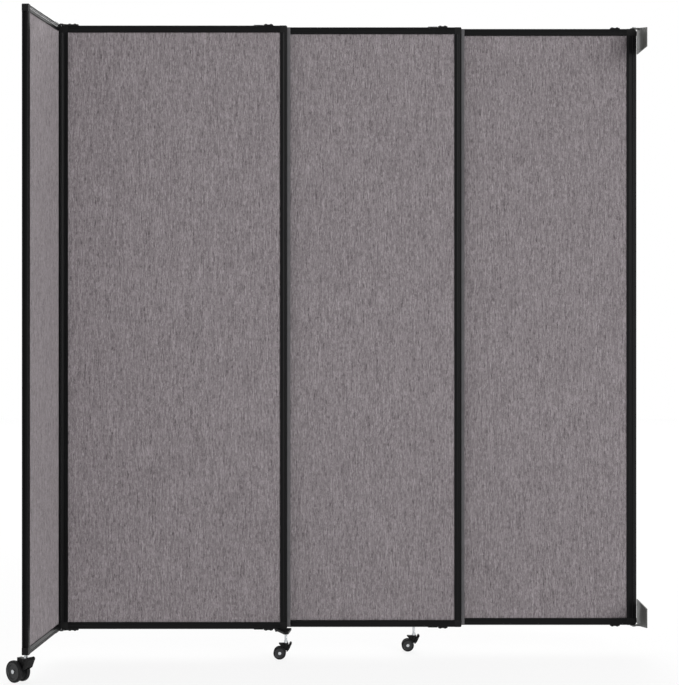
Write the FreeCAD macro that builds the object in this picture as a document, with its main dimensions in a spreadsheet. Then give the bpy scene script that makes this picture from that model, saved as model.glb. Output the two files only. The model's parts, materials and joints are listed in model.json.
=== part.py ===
import FreeCAD, Part
import os
import re

import Sketcher

# A wall-mounted sliding room divider. Three large framed cloth panels telescope past each other along X
# and a half-width return panel is hinged to the free end. The wall is the plane X = 0 and the divider
# runs from it toward -X, with +Y behind the panels and +Z up. The origin lies on the wall face of the
# lower wall bracket, level with the pivot axis.

os.makedirs("parts", exist_ok=True)
doc = FreeCAD.newDocument("divider")
sheet = doc.addObject("Spreadsheet::Sheet", "Sizes")

# Driving dimensions in millimetres and degrees
SIZES = (
    ("panel_height", 2189, "frame of every panel, bottom edge to top edge"),
    ("panel_width", 820, "large panel, edge to edge"),
    ("return_width", 447, "return panel, edge to edge"),
    ("panel_overlap", 185, "two large panels when drawn out"),
    ("panel_step", 38, "depth from one large panel to the next"),
    ("floor_gap", 97, "floor to the underside of the frames"),
    ("mount_height", 140, "floor to the origin on the lower wall bracket"),
    ("frame_face", 25.4, "extrusion, seen from the front"),
    ("frame_depth", 22.2, "extrusion, front to back"),
    ("slot_width", 10.4, "slot along the outer edge of the extrusion"),
    ("slot_depth", 7, "slot along the outer edge of the extrusion"),
    ("groove_depth", 8, "groove that holds the core and its cloth"),
    ("chamber_width", 16, "hollow between slot and groove"),
    ("chamber_wall", 2, "walls in front of and behind the hollow"),
    ("core_thickness", 13, "stiff core board"),
    ("cloth_thickness", 1.2, "cloth on each face of the core"),
    ("cloth_clearance", 0.3, "cloth to the sides of the groove"),
    ("core_clearance", 0.5, "core edge to the bottom of the groove"),
    ("corner_radius", 5, "outer corner of a corner block"),
    ("key_length", 40, "tenon of a corner block"),
    ("key_clearance", 0.15, "tenon to the hollow"),
    ("seal_proud", 11.5, "edge seal beyond its stile"),
    ("seal_width", 16, "lip of the edge seal"),
    ("seal_chamfer", 3, "lip of the edge seal"),
    ("seal_end", 8, "lip of the edge seal from the ends of its panel"),
    ("seal_clearance", 0.2, "root of the seal to the slot"),
    ("guide_length", 34, "slide guide along the rail"),
    ("guide_thickness", 4, "slide guide above the rail"),
    ("guide_heel", 9, "slide guide past the middle of its own panel"),
    ("guide_inset", 51, "slide guide from the right edge of its panel"),
    ("guide_clearance", 0.3, "guide arm to the rail that it slides along"),
    ("stop_gap", 2, "between two guides at the end of the travel"),
    ("tongue_depth", 6, "tongue of a guide in the next panel's slot"),
    ("tongue_clearance", 0.4, "tongue to the side of the slot"),
    ("tongue_gap", 1.2, "between tongues that pass in one slot"),
    ("bolt_radius", 2.5, "shank of every bolt"),
    ("bolt_bite", 1.8, "shank in the extrusion below the slot"),
    ("bolt_head_radius", 4.5, "head of every bolt"),
    ("bolt_head_height", 3, "head of every bolt"),
    ("bolt_pitch", 18, "two bolts in one guide"),
    ("fit_clearance", 0.05, "radial clearance of bolts, pins, stems and axles"),
    ("hinge_gap", 0.6, "return panel to lead panel in one line"),
    ("hinge_inset", 2, "hinge axis inside the lead panel's edge"),
    ("hinge_proud", 0.3, "hinge axis in front of the frames"),
    ("return_angle", 85.4, "return panel, turned forward from one line"),
    ("leaf_start", 12, "hinge leaf from its panel's edge"),
    ("leaf_length", 50, "hinge leaf along the rail"),
    ("leaf_width", 17, "hinge leaf across the rail"),
    ("return_leaf_thickness", 2.5, "lower leaf of the pair"),
    ("lead_leaf_thickness", 5, "leaf that reaches over the lower one"),
    ("leaf_clearance", 0.3, "between the two eyes"),
    ("eye_radius", 8, "eye of a hinge leaf"),
    ("pin_radius", 3, "hinge pin"),
    ("pin_head_radius", 5, "hinge pin"),
    ("pin_head_height", 2.5, "hinge pin"),
    ("leaf_bolt_inset", 18, "first leaf bolt from the start of its leaf"),
    ("leaf_bolt_pitch", 19, "two bolts in one leaf"),
    ("pivot_offset", 22, "wall to the pivot axis"),
    ("pivot_inset", 2.5, "pivot axis beyond the last stile"),
    ("pivot_nose", 11, "pivot block beyond the last stile"),
    ("nose_radius", 14, "rounded end of a pivot block"),
    ("pivot_radius", 4, "pivot pin"),
    ("pivot_depth", 18, "pivot pin in its block"),
    ("pivot_head_radius", 6.5, "pivot pin"),
    ("pivot_head_height", 4, "pivot pin"),
    ("ear_radius", 14, "ear of a wall bracket round the pivot"),
    ("ear_thickness", 3, "ear of a wall bracket"),
    ("ear_clearance", 0.5, "ear to the pivot block"),
    ("plate_thickness", 4, "wall plate of a bracket"),
    ("plate_height", 89, "wall plate at the ear"),
    ("plate_taper", 20, "height lost by the wall plate at its front end"),
    ("plate_back", 45, "wall plate behind the pivot"),
    ("plate_front", 150, "wall plate in front of the pivot"),
    ("screw_radius", 3.25, "hole for a wall screw"),
    ("screw_pitch_across", 150, "wall screws along the wall"),
    ("screw_pitch_up", 36, "wall screws up the wall"),
    ("outrigger_thickness", 8, "bracket that carries the lead caster"),
    ("outrigger_reach", 60, "lead caster in front of the lead panel's middle"),
    ("outrigger_radius", 10, "front end of the outrigger"),
    ("outrigger_span", 47, "outrigger along the bottom rail"),
    ("outrigger_proud", 15, "outrigger beyond the lead panel's edge"),
    ("outrigger_bolt_inset", 7, "first outrigger bolt from the outrigger's end"),
    ("outrigger_bolt_pitch", 10, "two bolts in the outrigger"),
    ("lead_caster_inset", 3, "lead caster from the lead panel's edge"),
    ("return_caster_angle", -41, "trail of the return caster from the wall line"),
    ("stem_radius", 4, "caster stem"),
    ("neck_radius", 4.8, "caster stem between its collar and its seat"),
    ("collar_radius", 6.5, "collar of a caster stem"),
    ("collar_height", 8, "collar of a caster stem"),
    ("stem_depth", 18, "stem in a corner block"),
    ("stem_tail", 12, "stem in its housing"),
    ("stem_bore_depth", 14, "bore for the stem in a housing"),
    ("swivel_clearance", 0.3, "collar to the housing"),
    ("wheel_clearance", 0.4, "wheels to the housing and to the axle heads"),
    ("axle_head_height", 1.5, "axle, outside the wheels"),
    ("lever_clearance", 0.3, "brake lever to the sides of the housing"),
    ("lug_clearance", 0.5, "brake lever round the lug of the housing"),
    ("trunnion_radius", 2, "pivot of a brake lever"),
    ("small_wheel_radius", 22.5, "lead and anchor casters"),
    ("small_wheel_width", 9.6, "each of the two wheels"),
    ("small_wheel_shoulder", 2.5, "edge of the tread"),
    ("small_wheel_recess", 2.5, "dish in the outer face of a wheel"),
    ("small_hub_radius", 7, "hub inside the dish"),
    ("small_rim_radius", 15, "dish in the outer face of a wheel"),
    ("small_axle_radius", 2.5, "axle"),
    ("small_axle_head", 5.5, "radius of the axle's heads"),
    ("small_trail", 22, "axle behind the stem"),
    ("small_caster_top", 58, "top of the housing above the floor"),
    ("small_housing_width", 12, "housing between the wheels"),
    ("small_crown_out", 9, "housing in front of the stem axis"),
    ("small_boss_radius", 9, "boss round the stem"),
    ("small_boss_height", 12, "boss round the stem"),
    ("small_leg_radius", 7, "housing round the axle"),
    ("small_hood_out", 25, "hood behind the stem axis"),
    ("small_hood_thickness", 3, "hood at its tip"),
    ("small_notch_out", 18, "notch under the hood, from the stem axis"),
    ("small_notch_drop", 10, "notch under the hood, below the top"),
    ("small_lug_radius", 3.5, "lug round the lever's pivot"),
    ("small_lever_width", 20, "brake lever across both wheels"),
    ("small_lever_thickness", 3.5, "brake lever"),
    ("small_lever_out", 8.5, "lever pivot in front of the stem axis"),
    ("small_lever_drop", 19.5, "lever pivot below the top"),
    ("small_knob_radius", 4.5, "round pedal of the brake lever"),
    ("small_knob_out", 17.2, "middle of the pedal in front of the stem axis"),
    ("small_knob_drop", 1.5, "middle of the pedal below the top"),
    ("small_shoe_out", 2, "brake shoe in front of the stem axis"),
    ("small_shoe_drop", 30, "brake shoe below the top"),
    ("large_wheel_radius", 37.5, "return caster"),
    ("large_wheel_width", 14.5, "each of the two wheels"),
    ("large_wheel_shoulder", 4, "edge of the tread"),
    ("large_wheel_recess", 3.5, "dish in the outer face of a wheel"),
    ("large_hub_radius", 9.5, "hub inside the dish"),
    ("large_rim_radius", 26, "dish in the outer face of a wheel"),
    ("large_axle_radius", 3.5, "axle"),
    ("large_axle_head", 7, "radius of the axle's heads"),
    ("large_trail", 42, "axle behind the stem"),
    ("large_caster_top", 85, "top of the housing above the floor"),
    ("large_housing_width", 18, "housing between the wheels"),
    ("large_crown_out", 13, "housing in front of the stem axis"),
    ("large_boss_radius", 12, "boss round the stem"),
    ("large_boss_height", 9, "boss round the stem"),
    ("large_leg_radius", 10, "housing round the axle"),
    ("large_hood_out", 36, "hood behind the stem axis"),
    ("large_hood_thickness", 8, "hood at its tip"),
    ("large_notch_out", 34, "notch under the hood, from the stem axis"),
    ("large_notch_drop", 12, "notch under the hood, below the top"),
    ("large_lug_radius", 5, "lug round the lever's pivot"),
    ("large_lever_width", 28, "brake lever across both wheels"),
    ("large_lever_thickness", 5, "brake lever"),
    ("large_lever_out", 12, "lever pivot in front of the stem axis"),
    ("large_lever_drop", 24, "lever pivot below the top"),
    ("large_knob_radius", 7, "round pedal of the brake lever"),
    ("large_knob_out", 24.8, "middle of the pedal in front of the stem axis"),
    ("large_knob_drop", -1, "middle of the pedal below the top"),
    ("large_shoe_out", -3.5, "brake shoe in front of the stem axis"),
    ("large_shoe_drop", 38, "brake shoe below the top"),
)
for row, (alias, value, note) in enumerate(SIZES, start=1):
    sheet.set(f"A{row}", alias)
    sheet.set(f"B{row}", str(value))
    sheet.setAlias(f"B{row}", alias)
    sheet.set(f"C{row}", note)
doc.recompute()

# Sizes that follow from the driving ones, as texts for expressions
GROOVE = "(core_thickness + 2 * cloth_thickness + 2 * cloth_clearance)"
CHAMBER = "(frame_face - slot_depth - groove_depth - 2 * chamber_wall)"
SPREAD = "(panel_width - panel_overlap)"
BASE_Z = "(floor_gap - mount_height)"
HINGE_Y = "(-frame_depth / 2 - hinge_proud)"
TURN = "(return_angle * 1 deg)"
UP = FreeCAD.Vector(0, 0, 1)
WALL = ("0", "0", "0", "0")
nodes = []


def sized(text):
    """The text with every named size, a word with an underscore, read from the sheet."""
    return re.sub(r"[a-z]+(?:_[a-z]+)+", lambda word: "Sizes." + word.group(), text)


def bind(made, prop, text):
    made.setExpression(prop, sized(text))


def number(text):
    return float(sheet.evalExpression(sized(text)))


def box(at, size):
    made = doc.addObject("Part::Box", "Block")
    for prop, text in zip(("Length", "Width", "Height"), size):
        bind(made, prop, text)
    for axis, text in zip("xyz", at):
        bind(made, f"Placement.Base.{axis}", text)
    return made


def rod(at, radius, length, along="z"):
    turns = {"x": ((0, 1, 0), 90), "y": ((1, 0, 0), -90), "z": ((0, 0, 1), 0)}
    axis, angle = turns[along]
    made = doc.addObject("Part::Cylinder", "Rod")
    made.Placement = FreeCAD.Placement(FreeCAD.Vector(), FreeCAD.Rotation(FreeCAD.Vector(*axis), angle))
    bind(made, "Radius", radius)
    bind(made, "Height", length)
    for axis, text in zip("xyz", at):
        bind(made, f"Placement.Base.{axis}", text)
    return made


def fuse(*parts):
    made = doc.addObject("Part::MultiFuse", "Fusion")
    made.Shapes = list(parts)
    return made


def cut(base, *tools):
    made = doc.addObject("Part::Cut", "Cut")
    made.Base = base
    made.Tool = tools[0] if len(tools) == 1 else group(*tools)
    return made


def group(*parts):
    made = doc.addObject("Part::Compound", "Group")
    made.Links = list(parts)
    return made


def below(source, middle="panel_height / 2"):
    """The same piece at the bottom edge, mirrored about a level plane."""
    made = doc.addObject("Part::Mirroring", "Mirror")
    made.Source = source
    made.Normal = UP
    bind(made, "Base.z", middle)
    return made


def both(*parts):
    """Pieces at the top edge of a panel together with their mirror images at the bottom edge."""
    return group(*parts, *(below(part) for part in parts))


def outline(body, plane, points, shift):
    """A closed sketch whose corners are each held by two coordinates from the sketch's origin."""
    sketch = body.newObject("Sketcher::SketchObject", "Outline")
    support = next(f for f in body.Origin.OriginFeatures if f.Role == plane)
    sketch.AttachmentSupport = (support, [""])
    sketch.MapMode = "FlatFace"
    for axis, text in zip("xyz", shift):
        bind(sketch, f"AttachmentOffset.Base.{axis}", text)
    corners = [FreeCAD.Vector(number(u), number(v), 0) for u, v in points]
    count = len(corners)
    for i in range(count):
        sketch.addGeometry(Part.LineSegment(corners[i], corners[(i + 1) % count]))
    for i in range(count):
        sketch.addConstraint(Sketcher.Constraint("Coincident", i, 2, (i + 1) % count, 1))
    for i, pair in enumerate(points):
        for kind, text in zip(("DistanceX", "DistanceY"), pair):
            held = sketch.addConstraint(Sketcher.Constraint(kind, -1, 1, i, 1, number(text)))
            bind(sketch, f"Constraints[{held}]", text)
    return sketch


def plate(points, plane, length, shift=("0", "0", "0"), symmetric=False):
    body = doc.addObject("PartDesign::Body", "Plate")
    pad = body.newObject("PartDesign::Pad", "Pad")
    pad.Profile = outline(body, plane, points, shift)
    if symmetric:
        pad.SideType = "Symmetric"
    bind(pad, "Length", length)
    body.Tip = pad
    return body


def turned(points, plane, shift=("0", "0", "0")):
    """A piece turned about its sketch's upright axis, from points given as radius and height."""
    body = doc.addObject("PartDesign::Body", "Turned")
    sketch = outline(body, plane, points, shift)
    turning = body.newObject("PartDesign::Revolution", "Turning")
    turning.Profile = sketch
    turning.ReferenceAxis = (sketch, ["V_Axis"])
    turning.Angle = 360
    body.Tip = turning
    return body


def node(label, made, place):
    """Names a finished piece and sets it at a place: x, y, z and a turn about the upright axis."""
    made.Label = label
    made.Placement = FreeCAD.Placement(FreeCAD.Vector(), FreeCAD.Rotation(UP, 1))
    for axis, text in zip("xyz", place[:3]):
        bind(made, f"Placement.Base.{axis}", text)
    bind(made, "Placement.Rotation.Angle", place[3])
    nodes.append(made)


# Places of the four panels: the lower left corner of each, on its middle plane
ANCHOR_X = "(-pivot_offset - pivot_inset - panel_width)"
MIDDLE_X = f"({ANCHOR_X} - {SPREAD})"
LEAD_X = f"({MIDDLE_X} - {SPREAD})"
LEAD_Y = "(-2 * panel_step)"
ANCHOR = (ANCHOR_X, "0", BASE_Z, "0")
MIDDLE = (MIDDLE_X, "-panel_step", BASE_Z, "0")
LEAD = (LEAD_X, LEAD_Y, BASE_Z, "0")

# The return panel is set out in one line with the lead panel and turned about the hinge axis
AXIS_X = f"({LEAD_X} + hinge_inset)"
AXIS_Y = f"({LEAD_Y} + {HINGE_Y})"
FAR = "(return_width + hinge_gap + hinge_inset)"
RETURN_X = f"({AXIS_X} - {FAR} * cos({TURN}) + {HINGE_Y} * sin({TURN}))"
RETURN_Y = f"({AXIS_Y} - {FAR} * sin({TURN}) - {HINGE_Y} * cos({TURN}))"
RETURN = (RETURN_X, RETURN_Y, BASE_Z, "return_angle")


# Slotted aluminium frame extrusion
def member(side, width, bolts=()):
    """One length of extrusion between two corner blocks, with the holes that its bolts bite into."""
    upright = side in ("left", "right")
    outer_last = side in ("right", "top")
    extent = width if upright else "panel_height"
    length = f"({'panel_height' if upright else width} - 2 * frame_face)"

    def bar(start, thick, deep):
        at = f"{extent} - ({start}) - ({thick})" if outer_last else start
        if upright:
            return box((at, f"-({deep}) / 2", "frame_face"), (thick, deep, length))
        return box(("frame_face", f"-({deep}) / 2", at), (length, deep, thick))

    hole = "bolt_radius + fit_clearance"
    start = "panel_height - slot_depth - chamber_wall" if outer_last else "slot_depth"
    return cut(
        bar("0", "frame_face", "frame_depth"),
        bar("0", "slot_depth", "slot_width"),
        bar("frame_face - groove_depth", "groove_depth", GROOVE),
        bar("slot_depth + chamber_wall", CHAMBER, "chamber_width"),
        *(rod((x, "0", start), hole, "chamber_wall") for x in bolts),
    )


# Moulded corner block with a tenon for the stile and one for the rail
def corner_block(right, top, width, reach="0", radius="corner_radius", bore=None):
    """The block's outer faces lie reach beyond the panel's edge; bore is (x, radius, depth) or None."""

    def at_x(start, size="0"):
        return f"{width} - ({start}) - ({size})" if right else start

    def at_z(start, size="0"):
        return f"panel_height - ({start}) - ({size})" if top else start

    def block(x, z, wide, deep, high):
        return box((at_x(x, wide), f"-({deep}) / 2", at_z(z, high)), (wide, deep, high))

    inset = "slot_depth + chamber_wall + key_clearance"
    key_deep = f"{CHAMBER} - 2 * key_clearance"
    key_wide = "chamber_width - 2 * key_clearance"
    made = fuse(
        block(f"-({reach})", "0", f"frame_face + {reach}", "frame_depth", "frame_face"),
        block(inset, "frame_face", key_deep, key_wide, "key_length"),
        block("frame_face", inset, "key_length", key_wide, key_deep),
    )
    curve = rod((at_x(f"{radius} - {reach}"), "-frame_depth / 2", at_z(radius)), radius, "frame_depth", "y")
    rounding = cut(block(f"-({reach})", "0", radius, "frame_depth", radius), curve)
    relief = block(
        "frame_face - groove_depth", "frame_face - groove_depth", "groove_depth", GROOVE, "groove_depth")
    made = cut(made, rounding, relief)
    if bore is None:
        return made
    x, bore_radius, depth = bore
    return cut(made, rod((x, "0", at_z("0", depth)), bore_radius, depth))


def framed_panel(name, width, place, sides, bolts, blocks):
    """Stiles, rails, corner blocks, core and cloth; bolts are those of the top and bottom rails."""
    node(f"{name}_{sides[0]}_stile", member("left", width), place)
    node(f"{name}_{sides[1]}_stile", member("right", width), place)
    node(f"{name}_top_rail", member("top", width, bolts[0]), place)
    node(f"{name}_bottom_rail", member("bottom", width, bolts[1]), place)
    node(f"{name}_corner_blocks", group(*blocks), place)
    edge = "(frame_face - groove_depth + core_clearance)"
    wide, high = f"{width} - 2 * {edge}", f"panel_height - 2 * {edge}"
    core = box((edge, "-core_thickness / 2", edge), (wide, "core_thickness", high))
    node(f"{name}_core", group(core), place)
    front = box((edge, "-core_thickness / 2 - cloth_thickness", edge), (wide, "cloth_thickness", high))
    back = box((edge, "core_thickness / 2", edge), (wide, "cloth_thickness", high))
    node(f"{name}_cloth", group(front, back), place)


# Bolt set from above into the top rail, with the height of the piece that it holds
def bolt(x, seat):
    head = rod((x, "0", f"panel_height + {seat}"), "bolt_head_radius", "bolt_head_height")
    start = "panel_height - slot_depth - bolt_bite"
    return fuse(head, rod((x, "0", start), "bolt_radius", f"{seat} + slot_depth + bolt_bite"))


def bolt_hole(x, seat):
    return rod((x, "0", "panel_height"), "bolt_radius + fit_clearance", seat)


# Moulded slide guide, bolted to its own panel, with a tongue in the near half of the next panel's slot
def guide(start, behind):
    def span(x, y, z, size):
        return box((x, y if behind else f"-({y}) - ({size[1]})", z), size)

    end = "panel_step - tongue_gap / 2"
    side = "panel_step - slot_width / 2 + tongue_clearance"
    made = fuse(
        span(start, "-guide_heel", "panel_height", (
            "guide_length", "guide_heel + frame_depth / 2", "guide_thickness")),
        span(start, "frame_depth / 2", "panel_height + guide_clearance", (
            "guide_length", f"{end} - frame_depth / 2", "guide_thickness - guide_clearance")),
        span(start, side, "panel_height - tongue_depth", (
            "guide_length", f"{end} - ({side})", "tongue_depth + guide_thickness")),
    )
    return cut(made, *(bolt_hole(x, "guide_thickness") for x in guide_bolts(start)))


def guide_bolts(start):
    return [f"{start} + (guide_length {sign} bolt_pitch) / 2" for sign in "-+"]


# Plain stop, bolted at the wall end of a rail, where the next panel's guide comes to rest
def stop(start):
    made = box((start, "-guide_heel", "panel_height"), ("guide_length", "2 * guide_heel", "guide_thickness"))
    return cut(made, *(bolt_hole(x, "guide_thickness") for x in guide_bolts(start)))


LEADING = "(panel_width - guide_inset - guide_length)"
TRAILING = "(panel_overlap - guide_inset - 2 * guide_length - stop_gap)"


# Hinge leaf: a bar bolted along the rail and an eye on the hinge axis off the panel's front corner
def hinge_leaf(edge, sign, eye, thickness, low, bolts):
    """Edge is the panel's hinge edge, sign the way along the rail, eye the axis from that edge and low the
    underside of the eye."""

    def along(text):
        return f"{edge} {sign} ({text})"

    eye_x = along(eye)
    half = "leaf_width / 2"
    link = [
        (along(f"{eye} + eye_radius * 0.92"), f"{HINGE_Y} - eye_radius * 0.38"),
        (along("leaf_start + leaf_width / 2"), f"-{half}"),
        (along("leaf_start"), half),
        (along(f"{eye} - eye_radius * 0.78"), f"{HINGE_Y} + eye_radius * 0.62"),
    ]
    bar_x = along("leaf_start" if sign == "+" else "leaf_start + leaf_length")
    made = fuse(
        box((bar_x, f"-{half}", "panel_height"), ("leaf_length", "leaf_width", thickness)),
        plate(link, "XY_Plane", f"{thickness} - ({low})", ("0", "0", f"panel_height + {low}")),
        rod((eye_x, HINGE_Y, f"panel_height + {low}"), "eye_radius", f"{thickness} - ({low})"),
    )
    pin_hole = rod((eye_x, HINGE_Y, f"panel_height + {low}"), "pin_radius + fit_clearance", thickness)
    return cut(made, pin_hole, *(bolt_hole(x, thickness) for x in bolts))


def leaf_bolts(edge, sign):
    first = "leaf_start + leaf_bolt_inset"
    return [f"{edge} {sign} ({first})", f"{edge} {sign} ({first} + leaf_bolt_pitch)"]


# Edge seal pressed into the slot of a right-hand stile
def edge_seal(width, end):
    """A root that fills the slot of the stile, and a lip that stops at the given distance from both ends."""
    root, lip = "(slot_width / 2 - seal_clearance)", "(seal_width / 2)"
    deep, outer = "(slot_depth - seal_clearance)", f"{width} + seal_proud"
    half = [(width, lip), (f"{outer} - seal_chamfer", lip), (outer, f"{lip} - seal_chamfer")]
    points = half + [(x, f"-({y})") for x, y in reversed(half)]
    return fuse(
        plate(points, "XY_Plane", f"panel_height - 2 * {end}", ("0", "0", end)),
        box((f"{width} - {deep}", f"-{root}", "frame_face"), (
            deep, f"2 * {root}", "panel_height - 2 * frame_face")),
    )


CORNERS = ((False, False), (True, False), (False, True), (True, True))
STEM_BORE = ("frame_face / 2", "stem_radius + fit_clearance", "stem_depth + key_clearance")

# Return panel, whose left stile is its free end and whose right stile is on the hinge
bolts = leaf_bolts("return_width", "-")
blocks = [corner_block(r, t, "return_width", bore=None if r or t else STEM_BORE) for r, t in CORNERS]
framed_panel("return", "return_width", RETURN, ("end", "hinge"), (bolts, bolts), blocks)
beyond = "-hinge_gap - hinge_inset"
leaf = hinge_leaf("return_width", "-", beyond, "return_leaf_thickness", "leaf_clearance", bolts)
node("return_hinge_leaves", both(leaf), RETURN)
node("return_bolts", both(*(bolt(x, "return_leaf_thickness") for x in bolts)), RETURN)

# Lead panel, with the outrigger that carries its caster in front
held = leaf_bolts("0", "+")
slides = guide_bolts(LEADING)
OUTRIGGER = "(panel_width - outrigger_span)"
rigged = [
    f"{OUTRIGGER} + outrigger_bolt_inset",
    f"{OUTRIGGER} + outrigger_bolt_inset + outrigger_bolt_pitch",
]
blocks = [corner_block(r, t, "panel_width") for r, t in CORNERS]
framed_panel("lead", "panel_width", LEAD, ("hinge", "slide"), (held + slides, held + slides + rigged), blocks)
low = "return_leaf_thickness + leaf_clearance"
leaf = hinge_leaf("0", "+", "hinge_inset", "lead_leaf_thickness", low, held)
node("lead_hinge_leaves", both(leaf), LEAD)
pin_start = "panel_height + leaf_clearance"
pin = fuse(
    rod(("hinge_inset", HINGE_Y, pin_start), "pin_radius", "lead_leaf_thickness - leaf_clearance"),
    rod(("hinge_inset", HINGE_Y, "panel_height + lead_leaf_thickness"), "pin_head_radius",
        "pin_head_height"),
)
node("hinge_pins", both(pin), LEAD)
node("lead_slide_guides", both(guide(LEADING, True)), LEAD)
node("lead_edge_seal", edge_seal("panel_width", "seal_end"), LEAD)
lead_bolts = [bolt(x, "lead_leaf_thickness") for x in held] + [bolt(x, "guide_thickness") for x in slides]
under = [below(bolt(x, "outrigger_thickness")) for x in rigged]
node("lead_bolts", group(both(*lead_bolts), *under), LEAD)
stem_x = "(panel_width - lead_caster_inset)"
plan = [
    (OUTRIGGER, "frame_depth / 2"),
    ("panel_width + outrigger_proud", "frame_depth / 2"),
    (f"{stem_x} + outrigger_radius", "-outrigger_reach"),
    (f"{stem_x} - outrigger_radius", "-outrigger_reach"),
]
down = "-outrigger_thickness"
arm = fuse(
    plate(plan, "XY_Plane", "outrigger_thickness", ("0", "0", down)),
    rod((stem_x, "-outrigger_reach", down), "outrigger_radius", "outrigger_thickness"),
)
stem_hole = rod((stem_x, "-outrigger_reach", down), "stem_radius + fit_clearance", "outrigger_thickness")
rig_holes = [rod((x, "0", down), "bolt_radius + fit_clearance", "outrigger_thickness") for x in rigged]
node("lead_outrigger", cut(arm, stem_hole, *rig_holes), LEAD)

# Middle panel, with guides to the panel behind it and to the one in front
bolts = guide_bolts(LEADING) + guide_bolts(TRAILING)
blocks = [corner_block(r, t, "panel_width") for r, t in CORNERS]
framed_panel("middle", "panel_width", MIDDLE, ("left", "right"), (bolts, bolts), blocks)
node("middle_slide_guides", both(guide(LEADING, True), guide(TRAILING, False)), MIDDLE)
node("middle_edge_seal", edge_seal("panel_width", "seal_end"), MIDDLE)
node("middle_bolts", both(*(bolt(x, "guide_thickness") for x in bolts)), MIDDLE)

# Anchor panel, next to the wall, on two pivot blocks
bolts = guide_bolts(TRAILING) + guide_bolts(LEADING)
pivot_x = "panel_width + pivot_inset"
PIVOT_BORE = (pivot_x, "pivot_radius + fit_clearance", "pivot_depth + ear_clearance")
blocks = [
    corner_block(False, False, "panel_width", bore=STEM_BORE),
    corner_block(False, True, "panel_width"),
    corner_block(True, False, "panel_width", "pivot_nose", "nose_radius", PIVOT_BORE),
    corner_block(True, True, "panel_width", "pivot_nose", "nose_radius", PIVOT_BORE),
]
framed_panel("anchor", "panel_width", ANCHOR, ("left", "pivot"), (bolts, bolts), blocks)
node("anchor_slide_guides", both(guide(TRAILING, False), stop(LEADING)), ANCHOR)
node("anchor_wall_seal", edge_seal("panel_width", "frame_face"), ANCHOR)
node("anchor_bolts", both(*(bolt(x, "guide_thickness") for x in bolts)), ANCHOR)

# Wall brackets: a tapered plate on the wall and an ear that holds the pivot pin
EAR_TOP = f"({BASE_Z} - ear_clearance)"
EAR_LOW = f"({EAR_TOP} - ear_thickness)"
outer = [
    ("plate_back", EAR_LOW),
    ("plate_back", f"{EAR_LOW} + plate_height"),
    ("-plate_front", f"{EAR_LOW} + plate_height"),
    ("-plate_front", f"{EAR_LOW} + plate_taper"),
    ("-ear_radius", EAR_LOW),
]
bracket = fuse(
    plate(outer, "YZ_Plane", "plate_thickness", ("0", "0", "-plate_thickness")),
    box(("-pivot_offset", "-ear_radius", EAR_LOW), ("pivot_offset", "2 * ear_radius", "ear_thickness")),
    rod(("-pivot_offset", "0", EAR_LOW), "ear_radius", "ear_thickness"),
)
screw_y, screw_z = "(plate_back - plate_front) / 2", f"{EAR_LOW} + (plate_height + plate_taper) / 2"
screw_holes = [
    rod(("-plate_thickness", f"{screw_y} {across} screw_pitch_across / 2",
         f"{screw_z} {up} screw_pitch_up / 2"), "screw_radius", "plate_thickness", "x")
    for across in "-+" for up in "-+"
]
ear_hole = rod(("-pivot_offset", "0", EAR_LOW), "pivot_radius + fit_clearance", "ear_thickness")
lower_bracket = cut(bracket, ear_hole, *screw_holes)
pivot_pin = fuse(
    rod(("-pivot_offset", "0", EAR_LOW), "pivot_radius", "ear_thickness + ear_clearance + pivot_depth"),
    rod(("-pivot_offset", "0", f"{EAR_LOW} - pivot_head_height"), "pivot_head_radius",
        "pivot_head_height"),
)
MID_Z = f"{BASE_Z} + panel_height / 2"
node("lower_wall_bracket", group(lower_bracket), WALL)
node("upper_wall_bracket", group(below(lower_bracket, MID_Z)), WALL)
node("pivot_pins", group(pivot_pin, below(pivot_pin, MID_Z)), WALL)


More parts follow.
